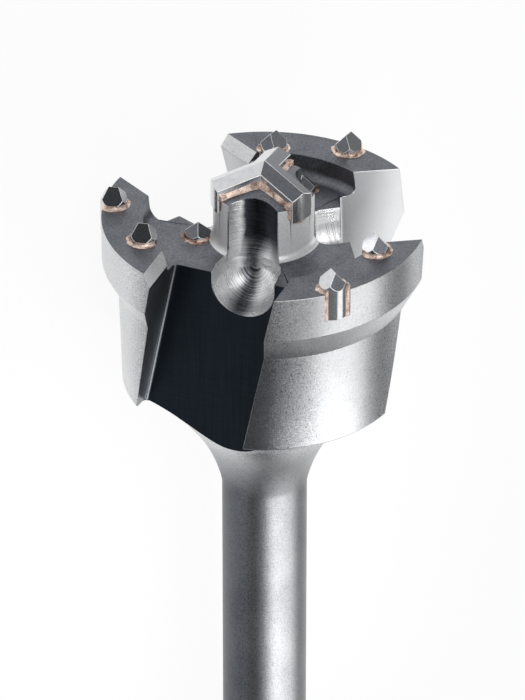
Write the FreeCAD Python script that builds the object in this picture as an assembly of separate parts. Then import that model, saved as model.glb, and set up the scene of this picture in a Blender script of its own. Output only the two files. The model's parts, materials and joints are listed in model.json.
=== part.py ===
import FreeCAD, Part
import math
import os
from FreeCAD import Matrix, Placement, Rotation, Vector

# Breakthrough bit for a rotary hammer: a three-winged steel head with brazed carbide on a long bar.
# Every piece is drawn upright first: +Z runs along the bar towards the tip, and zero is the flat top
# of the wings. At the end the whole tool is laid down as it comes to rest. Millimetres and degrees.

# Driving sizes of the whole tool
overall_length = 600.0
gauge_diameter = 80.0
lobe_count = 3

# Rim, wings and body of the head
gauge_overhang = 0.7
rim_height = 11.2
rim_step_height = 7.5
body_top_diameter = 70.8
body_bottom_diameter = 69.5
head_height = 45.5
body_edge_bevel = 0.75
wing_inner_diameter = 58.6
web_drop = 6.0
cove_radius = 2.5

# Underside, which flares like a trumpet from the bar to the body
waist_diameter = 40.2
waist_drop = 10.1
waist_sag = 1.7
neck_length = 30.5
neck_sag = 1.4

# Gullets, the three slanted slots between the wings
gullet_azimuth = 248.0
gullet_floor_distance = 20.0
gullet_lead_side = 14.1
gullet_trail_side = 16.7
gullet_slant = 11.0
gullet_corner_radius = 1.4
lead_bevel_width = 1.7
lead_bevel_drop = 3.3

# Centre post, and the three round flutes that a ball-ended cutter leaves in it and in the webs
post_diameter = 24.8
post_rim_height = 7.8
post_fillet = 2.5
flute_azimuth = 255.0
flute_radius = 8.0
flute_plunge_distance = 16.0
flute_depth = 16.5

# Carbide centre tip, a three-armed plate with a roof on each arm
tip_azimuth = 75.0
tip_height = 15.2
tip_diameter = 26.0
tip_slope = 16.0
tip_arm_width = 6.4
tip_roof_slope = 25.0
tip_seat_height = 4.0

# Carbide pins in the wings: azimuth of each, and whether its pocket opens outwards or inwards
wing_pin_diameter = 6.6
wing_pin_depth = 7.2
wing_pin_height = 4.7
wing_pin_ridge = 2.4
wing_pin_flank_slope = 51.0
wing_pin_hip_slope = 62.0
wing_pin_collar = 0.5
inner_pin_twist = 34.0
inner_pin_pitch_radius = 31.2
outer_pin_azimuths = (172.0, 56.0, 296.0)
inner_pin_azimuths = (202.0, 86.0, 328.0)

# Carbide pins in the webs: azimuth and distance from the axis
web_pin_diameter = 6.4
web_pin_depth = 6.0
web_pin_height = 4.0
web_pin_slope = 46.0
web_pin_places = ((180.0, 16.0), (67.0, 23.6))

# Copper braze, a bead round every piece of carbide
pin_bead_width = 0.6
pin_bead_height = 1.1
pocket_fill_setback = 0.3
tip_bead_width = 1.5
tip_bead_height = 1.4

# Bar and hammer shank
bar_diameter = 21.0
shank_diameter = 18.0
shank_length = 92.0
shank_shoulder_length = 6.0
shank_end_bevel = 2.5
drive_groove_azimuths = (0.0, 145.0, 215.0)
drive_groove_width = 4.4
drive_groove_depth = 2.2
drive_groove_length = 62.0
lock_pocket_azimuths = (90.0, 270.0)
lock_pocket_start = 19.0
lock_pocket_length = 24.0
lock_pocket_depth = 2.6
lock_cutter_radius = 4.2

# The gullet that faces the ground when the tool lies down, counted from the first one
resting_gullet = 2

# Cutters reach this far past what they cut, and where another cut is near only the small way
reach = 20.0
overcut = 1.0

rim_radius = gauge_diameter / 2 - gauge_overhang
body_top_radius = body_top_diameter / 2
body_bottom_radius = body_bottom_diameter / 2
wing_inner_radius = wing_inner_diameter / 2
post_radius = post_diameter / 2
tip_radius = tip_diameter / 2
bar_radius = bar_diameter / 2
shank_radius = shank_diameter / 2
lobe_angle = 360.0 / lobe_count
rim_bottom = -rim_height
body_top = -(rim_height + rim_step_height)
body_bottom = -head_height
neck_end = body_bottom - neck_length
tool_end = tip_height - overall_length
shank_top = tool_end + shank_length
web_floor = -web_drop
outer_pin_pitch_radius = (gauge_diameter - wing_pin_diameter) / 2
tip_fall = math.tan(math.radians(tip_slope))
slant_run = math.tan(math.radians(gullet_slant))
post_apex = post_rim_height + post_radius * tip_fall


def polar(distance, azimuth, z=0.0):
    angle = math.radians(azimuth)
    return Vector(distance * math.cos(angle), distance * math.sin(angle), z)


def turned(shape, azimuth):
    copy = shape.copy()
    copy.rotate(Vector(0, 0, 0), Vector(0, 0, 1), azimuth)
    return copy


def lobes(shape):
    return [turned(shape, index * lobe_angle) for index in range(lobe_count)]


def profile_point(radius, z):
    return Vector(radius, 0, z)


def sagged_arc(start, end, sag):
    """An arc in the profile plane whose middle stands off its chord, towards the axis and the tip."""
    chord = end.sub(start)
    side = Vector(chord.z, 0, -chord.x).normalize()
    middle = start.add(end).multiply(0.5).add(side.multiply(sag))
    return Part.Arc(start, middle, end).toShape()


def corner_arc(start, centre, end):
    """A quarter round between two points about their centre."""
    middle = start.add(end).multiply(0.5).sub(centre).normalize()
    radius = start.sub(centre).Length
    return Part.Arc(start, centre.add(middle.multiply(radius)), end).toShape()


def straight_run(points):
    return [Part.makeLine(first, second) for first, second in zip(points, points[1:])]


def corner_flats(start, centre, end):
    """A quarter round as two flats, which keeps a turned face's facets few."""
    outwards = start.add(end).multiply(0.5).sub(centre).normalize()
    middle = centre.add(outwards.multiply(start.sub(centre).Length))
    return straight_run([start, middle, end])


def top_outline():
    """From the axis over the post, down to the web, up the wing and out to the rim."""
    post_foot = profile_point(post_radius, web_floor + post_fillet)
    web_start = profile_point(post_radius + post_fillet, web_floor)
    web_end = profile_point(wing_inner_radius - cove_radius, web_floor)
    wing_foot = profile_point(wing_inner_radius, web_floor + cove_radius)
    post_fillet_centre = profile_point(post_radius + post_fillet, web_floor + post_fillet)
    cove_centre = profile_point(wing_inner_radius - cove_radius, web_floor + cove_radius)
    post_top = [profile_point(0, post_apex), profile_point(post_radius, post_rim_height), post_foot]
    wing = [wing_foot, profile_point(wing_inner_radius, 0), profile_point(rim_radius, 0)]
    edges = straight_run(post_top)
    edges += corner_flats(post_foot, post_fillet_centre, web_start)
    edges += straight_run([web_start, web_end])
    edges += corner_flats(web_end, cove_centre, wing_foot)
    return edges + straight_run(wing)


def side_outline():
    """From the rim down the body, round the trumpet, along the bar to the shank's end and the axis."""
    bevel_start = profile_point(body_bottom_radius, body_bottom + body_edge_bevel)
    bevel_end = profile_point(body_bottom_radius - body_edge_bevel, body_bottom)
    waist = profile_point(waist_diameter / 2, body_bottom - waist_drop)
    bar_start = profile_point(bar_radius, neck_end)
    body = [
        profile_point(rim_radius, 0),
        profile_point(rim_radius, rim_bottom),
        profile_point(body_top_radius, body_top),
        bevel_start,
        bevel_end,
    ]
    bar = [
        bar_start,
        profile_point(bar_radius, shank_top + shank_shoulder_length),
        profile_point(shank_radius, shank_top),
        profile_point(shank_radius, tool_end + shank_end_bevel),
        profile_point(shank_radius - shank_end_bevel, tool_end),
        profile_point(0, tool_end),
        profile_point(0, post_apex),
    ]
    edges = straight_run(body)
    edges.append(sagged_arc(bevel_end, waist, waist_sag))
    edges.append(sagged_arc(waist, bar_start, neck_sag))
    return edges + straight_run(bar)


def turned_blank():
    face = Part.Face(Part.Wire(top_outline() + side_outline()))
    return face.revolve(Vector(0, 0, 0), Vector(0, 0, 1), 360)


def gullet_cutter():
    """A slanted slot with rounded inner corners, along X before it is turned to its azimuth."""
    top = reach
    shift = top * slant_run
    floor = gullet_floor_distance
    low = shift - gullet_lead_side
    high = shift + gullet_trail_side
    outside = rim_radius + reach
    radius = gullet_corner_radius
    low_centre = Vector(floor + radius, low + radius, top)
    high_centre = Vector(floor + radius, high - radius, top)
    low_start = Vector(floor + radius, low, top)
    low_end = Vector(floor, low + radius, top)
    high_start = Vector(floor, high - radius, top)
    high_end = Vector(floor + radius, high, top)
    edges = straight_run([Vector(outside, low, top), low_start])
    edges.append(corner_arc(low_start, low_centre, low_end))
    edges += straight_run([low_end, high_start])
    edges.append(corner_arc(high_start, high_centre, high_end))
    edges += straight_run([high_end, Vector(outside, high, top), Vector(outside, low, top)])
    depth = top - neck_end
    return Part.Face(Part.Wire(edges)).extrude(Vector(0, -depth * slant_run, -depth))


def lead_bevel_cutter():
    """The wedge off the top of a wing's leading end, along X before it is turned."""
    wall = -gullet_lead_side - lead_bevel_drop * slant_run
    rise = (lead_bevel_drop + reach) / lead_bevel_drop
    start = gullet_floor_distance - overcut
    section = [
        Vector(start, wall, -lead_bevel_drop),
        Vector(start, wall - lead_bevel_width * rise, reach),
        Vector(start, 0, reach),
        Vector(start, 0, -lead_bevel_drop),
    ]
    face = Part.Face(Part.makePolygon(section + section[:1]))
    return face.extrude(Vector(rim_radius + reach - start, 0, 0))


def flute_cutter():
    """The path of a ball-ended cutter: down beside the post, then straight out along X."""
    ball_z = flute_radius - flute_depth
    start = Vector(flute_plunge_distance, 0, ball_z)
    height = post_apex + reach - ball_z
    run = gullet_floor_distance + reach / 2 - flute_plunge_distance
    plunge = Part.makeCylinder(flute_radius, height, start)
    ball = Part.makeSphere(flute_radius, start)
    trough = Part.makeCylinder(flute_radius, run, start, Vector(1, 0, 0))
    corner = Vector(flute_plunge_distance, -flute_radius, ball_z)
    slot = Part.makeBox(run, 2 * flute_radius, height, corner)
    return ball.fuse([plunge, trough, slot]).removeSplitter()


def round_at(distance, azimuth, radius, low, high):
    return Part.makeCylinder(radius, high - low, polar(distance, azimuth, low))


def wing_pin_places():
    """Distance, azimuth and the side that the pocket opens to, +1 outwards and -1 inwards."""
    places = [(outer_pin_pitch_radius, azimuth, 1) for azimuth in outer_pin_azimuths]
    places += [(inner_pin_pitch_radius, azimuth, -1) for azimuth in inner_pin_azimuths]
    return places


def pocket_mouth(distance, azimuth, side, top):
    """The open side of a wing pin's pocket, from the pin's axis through the nearest wall of the wing."""
    radius = wing_pin_diameter / 2
    near, far = distance, rim_radius + overcut
    depth = wing_pin_depth
    if side < 0:
        near, far = wing_inner_radius - overcut, distance
        depth = web_drop
    corner = Vector(near, -radius, -depth)
    return turned(Part.makeBox(far - near, 2 * radius, depth + top, corner), azimuth)


def wing_pocket(distance, azimuth, side):
    bore = round_at(distance, azimuth, wing_pin_diameter / 2, -wing_pin_depth, reach)
    return bore.fuse(pocket_mouth(distance, azimuth, side, reach))


def hip_roof(apex, ridge, flank_slope, hip_slope):
    """A tall four-sided roof whose ridge runs along X; with no ridge it is a square point."""
    depth = 2 * apex
    across = depth / math.tan(math.radians(flank_slope))
    along = ridge / 2 + depth / math.tan(math.radians(hip_slope))
    low = apex - depth
    section = [Vector(0, -across, low), Vector(0, across, low), Vector(0, 0, apex)]
    gable = Part.Face(Part.makePolygon(section + section[:1])).extrude(Vector(2 * along, 0, 0))
    gable.translate(Vector(-along, 0, 0))
    hips = [
        Vector(-along, -across, low),
        Vector(along, -across, low),
        Vector(ridge / 2, -across, apex),
        Vector(-ridge / 2, -across, apex),
    ]
    if ridge == 0:
        hips = hips[:3]
    sides = Part.Face(Part.makePolygon(hips + hips[:1])).extrude(Vector(0, 2 * across, 0))
    return gable.common(sides)


def pointed_pin(radius, depth, height, roof):
    """A round pin whose top end is ground to a roof; zero is where it stands out of the steel."""
    body = Part.makeCylinder(radius, depth + height, Vector(0, 0, -depth))
    top = body.common(roof)
    stem = Part.makeCylinder(radius, depth + wing_pin_collar, Vector(0, 0, -depth))
    return stem.fuse(top).removeSplitter()


def wing_pin(distance, azimuth, side):
    """A wing's pin has a short ridge, and the inner ones are turned a little from the radius."""
    turn = azimuth if side > 0 else azimuth - inner_pin_twist
    roof = hip_roof(wing_pin_height, wing_pin_ridge, wing_pin_flank_slope, wing_pin_hip_slope)
    pin = pointed_pin(wing_pin_diameter / 2, wing_pin_depth, wing_pin_height, roof)
    pin = turned(pin, turn)
    pin.translate(polar(distance, azimuth))
    return pin


def web_pin(distance, azimuth):
    """A web's pin has a square point."""
    roof = hip_roof(web_pin_height, 0, web_pin_slope, web_pin_slope)
    pin = pointed_pin(web_pin_diameter / 2, web_pin_depth, web_pin_height, roof)
    pin = turned(pin, azimuth + 45)
    pin.translate(polar(distance, azimuth, web_floor))
    return pin


def arm_prism(section):
    """One arm along X: its section at the axis, drawn out down the slope of the roof."""
    points = [Vector(0, side, z) for side, z in section]
    face = Part.Face(Part.makePolygon(points + points[:1]))
    length = tip_radius + overcut
    return face.extrude(Vector(length, 0, -length * tip_fall))


def three_arms(prism):
    first, *others = lobes(turned(prism, tip_azimuth))
    return first.fuse(others).removeSplitter()


def tip_blank(top):
    half = tip_arm_width / 2
    drop = half * math.tan(math.radians(tip_roof_slope))
    section = [(-half, 0), (half, 0), (half, top - drop), (0, top), (-half, top - drop)]
    room = Part.makeCylinder(tip_radius + overcut, top, Vector(0, 0, tip_seat_height))
    return three_arms(arm_prism(section)).common(room)


def centre_tip():
    """The three-armed carbide plate, ground round at the ends of its arms."""
    turned_end = Part.makeCylinder(tip_radius, overall_length, Vector(0, 0, tip_seat_height))
    return tip_blank(tip_height).common(turned_end)


def tip_seat():
    return tip_blank(tip_height + reach)


def carbide_pins():
    pins = {}
    for number, (distance, azimuth, side) in enumerate(wing_pin_places(), 1):
        pins[f"wing_pin_{number}"] = wing_pin(distance, azimuth, side)
    for number, (azimuth, distance) in enumerate(web_pin_places, 1):
        pins[f"web_pin_{number}"] = web_pin(distance, azimuth)
    return pins


def pin_bead(distance, azimuth, radius, floor):
    """A copper collar round a pin, wide at its foot, with flat sides to keep its facets few."""
    foot = polar(distance, azimuth, floor)
    widths = (pin_bead_width, 0), (pin_bead_width / 4, pin_bead_height)
    rings = []
    for width, height in widths:
        corners = [foot.add(polar(radius + width, angle, height)) for angle in range(0, 361, 18)]
        rings.append(Part.makePolygon(corners))
    outside = Part.makeLoft(rings, True, True)
    return outside.cut(round_at(distance, azimuth, radius, floor, floor + pin_bead_height))


def wing_ring(setback, low, high):
    """The room between a wing's two walls, or a little inside them."""
    outside = Part.makeCylinder(rim_radius - setback, high - low, Vector(0, 0, low))
    return outside.cut(Part.makeCylinder(wing_inner_radius + setback, high - low, Vector(0, 0, low)))


def wing_bead(distance, azimuth, side):
    """The collar of a wing's pin, and the copper that fills its pocket beside the pin."""
    radius = wing_pin_diameter / 2
    collar = pin_bead(distance, azimuth, radius, 0).common(wing_ring(0, 0, reach))
    fill = pocket_mouth(distance, azimuth, side, 0)
    fill = fill.common(wing_ring(pocket_fill_setback, -wing_pin_depth, 0))
    fill = fill.cut(round_at(distance, azimuth, radius, -wing_pin_depth, 0))
    return collar.fuse(fill).removeSplitter()


def pin_beads(head):
    """One bead for each pin."""
    beads = {}
    for number, place in enumerate(wing_pin_places(), 1):
        beads[f"wing_pin_braze_{number}"] = wing_bead(*place)
    for number, (azimuth, distance) in enumerate(web_pin_places, 1):
        bead = pin_bead(distance, azimuth, web_pin_diameter / 2, web_floor)
        beads[f"web_pin_braze_{number}"] = bead.cut(head)
    return beads


def tip_beads(head, tip):
    """The copper on the post's sloping top, one bead in each corner between two arms."""
    inside = tip_arm_width / 2
    outside = inside + tip_bead_width
    top = post_apex + tip_bead_height
    section = [(-outside, 0), (outside, 0), (outside, post_apex), (inside, top), (-inside, top)]
    section.append((-outside, post_apex))
    post_round = Part.makeCylinder(post_radius, top)
    copper = three_arms(arm_prism(section)).common(post_round).cut([head, tip]).cut(flutes())
    beads = sorted(copper.Solids, key=lambda bead: math.atan2(bead.CenterOfMass.y, bead.CenterOfMass.x))
    return {f"tip_braze_{number}": bead for number, bead in enumerate(beads, 1)}


def flutes():
    return lobes(turned(flute_cutter(), flute_azimuth))


def drive_groove(azimuth):
    """A groove that is open at the shank's end and round at the other."""
    floor = shank_radius - drive_groove_depth
    half = drive_groove_width / 2
    corner = Vector(floor, -half, tool_end - reach)
    box = Part.makeBox(reach, 2 * half, drive_groove_length - half + reach, corner)
    runout = Vector(floor, 0, tool_end + drive_groove_length - half)
    rounded = Part.makeCylinder(half, reach, runout, Vector(1, 0, 0))
    return turned(box.fuse(rounded), azimuth)


def lock_pocket(azimuth):
    """A closed pocket with round ends, where the chuck's locking segment sits."""
    axis = shank_radius - lock_pocket_depth + lock_cutter_radius
    low = tool_end + lock_pocket_start + lock_cutter_radius
    high = tool_end + lock_pocket_start + lock_pocket_length - lock_cutter_radius
    trough = Part.makeCylinder(lock_cutter_radius, high - low, Vector(axis, 0, low))
    ends = [Part.makeSphere(lock_cutter_radius, Vector(axis, 0, z)) for z in (low, high)]
    return turned(trough.fuse(ends).removeSplitter(), azimuth)


def head_and_shank():
    """The one steel forging: wings, webs, post, body, bar and shank, with everything cut from it."""
    cutters = lobes(turned(gullet_cutter(), gullet_azimuth))
    cutters += lobes(turned(lead_bevel_cutter(), gullet_azimuth))
    cutters += flutes()
    cutters += [wing_pocket(*place) for place in wing_pin_places()]
    for azimuth, distance in web_pin_places:
        low = web_floor - web_pin_depth
        cutters.append(round_at(distance, azimuth, web_pin_diameter / 2, low, reach))
    cutters += [drive_groove(azimuth) for azimuth in drive_groove_azimuths]
    cutters += [lock_pocket(azimuth) for azimuth in lock_pocket_azimuths]
    return turned_blank().cut(cutters).cut(tip_seat())


def wing_corner(side_distance, z):
    """A corner where a gullet's wall meets the rim, in the gullet's own directions."""
    return Vector(math.sqrt(rim_radius**2 - side_distance**2), side_distance, z)


def resting_directions():
    """Down and forward as the tool lies: two wing corners of one gullet and the shank's end bear."""
    lead = wing_corner(-gullet_lead_side - lead_bevel_drop * slant_run, -lead_bevel_drop)
    trail = wing_corner(gullet_trail_side - rim_height * slant_run, rim_bottom)
    chord = lead.sub(trail)
    chord_length = math.hypot(chord.x, chord.y)
    chord_azimuth = math.degrees(math.atan2(chord.y, chord.x))
    run = lead.z - (tool_end + shank_end_bevel)
    rise = 0.0
    for _ in range(5):
        opening = math.degrees(math.acos(rise * chord.z / chord_length))
        azimuth = chord_azimuth + opening
        bearing = lead.dot(polar(1, azimuth))
        rise = (bearing - shank_radius) / run
    azimuth += gullet_azimuth + resting_gullet * lobe_angle
    tilt = math.atan(rise)
    down = polar(math.cos(tilt), azimuth, -math.sin(tilt))
    forward = polar(math.sin(tilt), azimuth, math.cos(tilt))
    return down, forward


def lying_placement(shapes):
    """Turns the tool onto its side along +X, tip forwards, with the ground at zero under its middle."""
    down, forward = resting_directions()
    up = down.negative()
    left = up.cross(forward)
    rows = (forward.x, forward.y, forward.z, 0, left.x, left.y, left.z, 0, up.x, up.y, up.z, 0, 0, 0, 0, 1)
    turn = Placement(Vector(0, 0, 0), Rotation(Matrix(*rows)))
    group = Part.makeCompound(shapes)
    group.Placement = turn
    box = group.optimalBoundingBox(False)
    shift = Vector(-(box.XMin + box.XMax) / 2, -(box.YMin + box.YMax) / 2, -box.ZMin)
    return Placement(shift, turn.Rotation)


def build():
    head = head_and_shank()
    tip = centre_tip()
    nodes = {"head_and_shank": head, "centre_tip": tip}
    nodes.update(tip_beads(head, tip))
    nodes.update(carbide_pins())
    nodes.update(pin_beads(head))
    return nodes


def main():
    os.makedirs("parts", exist_ok=True)
    nodes = build()
    placement = lying_placement(list(nodes.values()))
    for name, shape in nodes.items():
        laid = shape.copy()
        laid.Placement = placement.multiply(laid.Placement)
        laid.exportStep(f"parts/{name}.step")
        print(name, len(laid.Solids), laid.isValid(), round(laid.Volume, 1))


main()
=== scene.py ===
# %% [markdown]
# # A breakthrough bit for a rotary hammer
# The real tool is a winged steel head on a long bar, with hard carbide pins and a three-armed centre
# tip brazed in with copper. The steel is one piece, so here it is one turned blank that gets its
# gullets, flutes and slots cut from it, as in a machine shop. Everything is drawn upright in
# millimetres, with zero at the flat top of the wings, and is laid down at the end as the tool lies.

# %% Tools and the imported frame
import json
import math

import bmesh
import bpy
from mathutils import Matrix, Vector, noise


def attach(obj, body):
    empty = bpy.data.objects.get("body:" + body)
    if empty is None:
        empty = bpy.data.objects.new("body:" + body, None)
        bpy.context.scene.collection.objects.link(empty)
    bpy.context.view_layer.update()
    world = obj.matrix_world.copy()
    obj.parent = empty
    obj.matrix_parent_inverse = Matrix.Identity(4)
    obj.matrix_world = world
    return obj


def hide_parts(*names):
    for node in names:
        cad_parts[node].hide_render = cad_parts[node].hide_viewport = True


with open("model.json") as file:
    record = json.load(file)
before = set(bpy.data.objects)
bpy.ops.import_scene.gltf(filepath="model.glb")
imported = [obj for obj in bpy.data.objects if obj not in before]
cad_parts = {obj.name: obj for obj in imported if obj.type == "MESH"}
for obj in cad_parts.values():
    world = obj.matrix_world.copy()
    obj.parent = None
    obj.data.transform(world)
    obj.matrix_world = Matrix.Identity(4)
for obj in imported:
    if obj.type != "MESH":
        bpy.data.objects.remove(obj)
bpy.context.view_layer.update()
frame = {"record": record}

# %% [markdown]
# ## From the upright drawing to the tool as it lies
# The shank's mount says where the bar is and which way it points. The turn about the bar is the
# gullet that faces the ground. Both give one matrix, which every piece is laid down with.

# %% The laying matrix
DOWN_AZIMUTH = 127.089
SHANK_MIDDLE = -537.55
MILLIMETRE = 0.001

mount = next(item for item in frame["record"]["mounts"] if item["name"] == "shank")
tilt = math.asin(-mount["axis"][2])
azimuth = math.radians(DOWN_AZIMUTH)
level, rise = math.cos(tilt), math.sin(tilt)
down = Vector((level * math.cos(azimuth), level * math.sin(azimuth), -rise))
forward = Vector((rise * math.cos(azimuth), rise * math.sin(azimuth), level))
left = (-down).cross(forward)
turn = Matrix((forward, left, -down))
origin = Vector(mount["pos_m"]) - turn @ Vector((0, 0, SHANK_MIDDLE * MILLIMETRE))
lay = Matrix.Translation(origin) @ turn.to_4x4() @ Matrix.Scale(MILLIMETRE, 4)
print("tilt", math.degrees(tilt), "wing tops at", origin)

# %% [markdown]
# ## The camera
# The photograph is taken with a long lens from a third of the way up, square to the bar. The camera
# keeps that view of the head. It is rolled, so that the lying bar stands upright in the picture.

# %% Camera
LOOKS_AT = Vector((-0.5, 0, -38.7))
TO_CAMERA = Vector((0, -0.8417, 0.54)).normalized()
PICTURE_RIGHT = Vector((1, 0, 0))
PICTURE_HEIGHT = 0.1707
LENS = 300.0
SENSOR = 36.0

camera_data = bpy.data.cameras.new("camera")
camera_data.lens = LENS
camera_data.sensor_width = SENSOR
camera = bpy.data.objects.new("camera", camera_data)
bpy.context.collection.objects.link(camera)
picture_up = TO_CAMERA.cross(PICTURE_RIGHT)
camera_turn = turn @ Matrix((PICTURE_RIGHT, picture_up, TO_CAMERA)).transposed()
camera_place = lay @ LOOKS_AT + turn @ TO_CAMERA * PICTURE_HEIGHT * LENS / SENSOR
camera.matrix_world = Matrix.Translation(camera_place) @ camera_turn.to_4x4()
bpy.context.scene.camera = camera
print("camera", camera_place)

# %% [markdown]
# ## Shader maths as Python
# A material's pattern is arithmetic on numbers that change over the surface. It could be clicked
# together from Math nodes, but the sums would be hard to read. A small class wraps a node's socket,
# so that plus, minus, times and powers write the Math nodes.

# %% A socket that can be calculated with
class Value:
    """A number that changes over the surface."""

    def __init__(self, tree, socket):
        self.tree = tree
        self.socket = socket

    def maths(self, operation, first, second):
        node = self.tree.nodes.new("ShaderNodeMath")
        node.operation = operation
        put(self.tree, node.inputs[0], first)
        put(self.tree, node.inputs[1], second)
        return Value(self.tree, node.outputs[0])

    def __add__(self, other):
        return self.maths("ADD", self, other)

    def __radd__(self, other):
        return self.maths("ADD", other, self)

    def __sub__(self, other):
        return self.maths("SUBTRACT", self, other)

    def __rsub__(self, other):
        return self.maths("SUBTRACT", other, self)

    def __mul__(self, other):
        return self.maths("MULTIPLY", self, other)

    def __rmul__(self, other):
        return self.maths("MULTIPLY", other, self)

    def __pow__(self, other):
        return self.maths("POWER", self, other)

    def above(self, level):
        return self.maths("GREATER_THAN", self, level)

    def most(self, other):
        return self.maths("MAXIMUM", self, other)

    def size(self):
        return self.most(self * -1.0)


def put(tree, socket, value):
    """Links a value, or writes a plain number or colour."""
    if isinstance(value, Value):
        tree.links.new(value.socket, socket)
    else:
        socket.default_value = value


# %% A material that is being made
class Finish:
    """A material whose nodes are added one call at a time."""

    def __init__(self, name, metallic):
        self.material = bpy.data.materials.new(name)
        self.material.use_nodes = True
        self.tree = self.material.node_tree
        self.surface = self.tree.nodes["Principled BSDF"]
        self.surface.inputs["Metallic"].default_value = metallic

    def node(self, kind, settings, sockets, output=0):
        """One node: its type, its settings, and the values or links of its sockets."""
        node = self.tree.nodes.new(kind)
        for name, value in settings.items():
            setattr(node, name, value)
        for name, value in sockets.items():
            put(self.tree, node.inputs[name], value)
        return Value(self.tree, node.outputs[output])

    def upright(self):
        """The place on the tool in millimetres, as it was drawn upright."""
        place = self.node("ShaderNodeTexCoord", {}, {}, "Object")
        back = turn.transposed()
        sockets = {
            "Vector": place,
            "Location": -(back @ origin) / MILLIMETRE,
            "Rotation": back.to_euler(),
            "Scale": (1 / MILLIMETRE,) * 3,
        }
        return self.node("ShaderNodeMapping", {}, sockets)

    def stretched(self, place, scale):
        """The same place on a scale of its own along each axis."""
        return self.node("ShaderNodeMapping", {}, {"Vector": place, "Scale": scale})

    def part(self, place, axis):
        """One coordinate of a place."""
        return self.node("ShaderNodeSeparateXYZ", {}, {"Vector": place}, axis)

    def radius(self, place):
        """How far a place is from the tool's axis."""
        across = self.part(place, "X")
        ahead = self.part(place, "Y")
        return (across * across + ahead * ahead) ** 0.5

    def noise(self, place, scale, detail=2.0, rough=0.5):
        sockets = {"Vector": place, "Scale": scale, "Detail": detail, "Roughness": rough}
        return self.node("ShaderNodeTexNoise", {}, sockets)

    def rings(self, distance, scale):
        """Noise that changes along one distance only, as turned rings do."""
        sockets = {"W": distance, "Scale": scale, "Detail": 3.0}
        return self.node("ShaderNodeTexNoise", {"noise_dimensions": "1D"}, sockets)

    def ramp(self, value, low, high):
        """Zero at low, one at high, and even between."""
        sockets = {"Value": value, "From Min": low, "From Max": high}
        return self.node("ShaderNodeMapRange", {"clamp": True}, sockets)

    def colour(self, share, low, high):
        """A colour between two, by a share from zero to one."""
        low = low if isinstance(low, Value) else (*low, 1)
        high = high if isinstance(high, Value) else (*high, 1)
        return self.node("ShaderNodeMix", {"data_type": "RGBA"}, {0: share, 6: low, 7: high}, 2)

    def times(self, colour, shade):
        """One colour darkened by another."""
        settings = {"data_type": "RGBA", "blend_type": "MULTIPLY"}
        return self.node("ShaderNodeMix", settings, {0: 1.0, 6: colour, 7: shade}, 2)

    def bump(self, height, depth):
        """A fine relief; depth is in millimetres."""
        sockets = {"Height": height, "Distance": depth * MILLIMETRE}
        return self.node("ShaderNodeBump", {}, sockets)

    def finish(self, **values):
        """Sets or links the shader's own sockets, and gives the material back."""
        for name, value in values.items():
            put(self.tree, self.surface.inputs[name.replace("_", " ")], value)
        return self.material


# %% [markdown]
# ## Steel that was blasted with sand
# The flanks of the head and the bar are bright steel with a fine sandy grain: tiny pits that each
# catch the light a little differently. An image of sand would show its seams round a bar, so noise
# changes the roughness, the colour and the relief. Beside the gullets the flanks have painted shade,
# dark and speckled, most of all below the rim. The bar is darker than the head, has painted shade
# along one side, and gets lighter and smoother in the trumpet under the head.

# %% Sandy steel
GULLETS = (248.0, 8.0, 128.0)


def sandy_steel(name, dark, light, rough, grain, depth, metallic=1.0):
    made = Finish(name, metallic=metallic)
    place = made.upright()
    share, relief, fine = sand(made, place, grain, depth)
    base = made.colour(share, dark, light)
    return made.finish(Base_Color=base, Roughness=rough + (fine - 0.5) * 0.25, Normal=relief)


def sand(made, place, grain, depth):
    """The share between dark and light, the relief and the fine noise of a blasted face."""
    fine = made.noise(place, 1 / grain, detail=3.0)
    clouds = made.noise(place, 0.09, detail=2.0)
    pits = made.ramp(made.noise(place, 0.5 / grain, detail=1.0), 0.60, 0.74)
    share = (fine - 0.5) * 1.6 + clouds * 0.5 + 0.25 - pits * 0.35
    return share, made.bump(fine - pits * 0.3, depth), fine


def bar_finish():
    made = Finish("bar_steel", metallic=1.0)
    place = made.upright()
    share, relief, fine = sand(made, place, 0.26, 0.05)
    share = (share - 0.5) * 1.5 + 0.5
    near_head = made.ramp(made.part(place, "Z"), -74.0, -52.0)
    # Painted shade: the side towards -X gets the dark scale colour, which stands for a dark reflection
    # along that side of the bar.
    painted_bright_side = made.ramp(made.part(place, "X") + (fine - 0.5) * 6.0, -6.0, 2.0)
    scale = made.colour(share, (0.050, 0.058, 0.072), (0.150, 0.162, 0.180))
    plain = made.colour(share, (0.150, 0.155, 0.163), (0.300, 0.303, 0.306))
    bright = made.colour(share, (0.44, 0.445, 0.46), (0.80, 0.805, 0.82))
    base = made.colour(near_head, made.colour(painted_bright_side, scale, plain), bright)
    rough = 0.40 - near_head * 0.16 + (fine - 0.5) * 0.22
    return made.finish(Base_Color=base, Roughness=rough, Normal=relief)


def across_from(made, place, azimuth):
    """How far a place is out along an azimuth, and how far beside it."""
    angle = math.radians(azimuth)
    across = made.part(place, "X")
    ahead = made.part(place, "Y")
    out = across * math.cos(angle) + ahead * math.sin(angle)
    return out, ahead * math.cos(angle) - across * math.sin(angle)


def flank_finish():
    made = Finish("flank_steel", metallic=1.0)
    place = made.upright()
    share, relief, fine = sand(made, place, 0.30, 0.04)
    # Painted shade: beside each gullet the flank is painted dark and speckled, most of all below the
    # rim, for the dark it reflects there.
    body = made.ramp(made.part(place, "Z"), -12.0, -20.0)
    clear_of_painted_shade = 1.0
    for azimuth in GULLETS:
        out, beside = across_from(made, place, azimuth)
        away = beside.size() + (fine - 0.5) * 14.0 - body * 2.8
        clear_of_painted_shade = made.ramp(away, 12.0, 22.0).most(1.0 - out.above(0.0)) * clear_of_painted_shade
    share = share * (clear_of_painted_shade * 0.34 + 0.16) + clear_of_painted_shade * 0.43
    base = made.colour(share, (0.10, 0.108, 0.122), (0.90, 0.905, 0.915))
    return made.finish(Base_Color=base, Roughness=0.30 + (fine - 0.5) * 0.25, Normal=relief)


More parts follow.
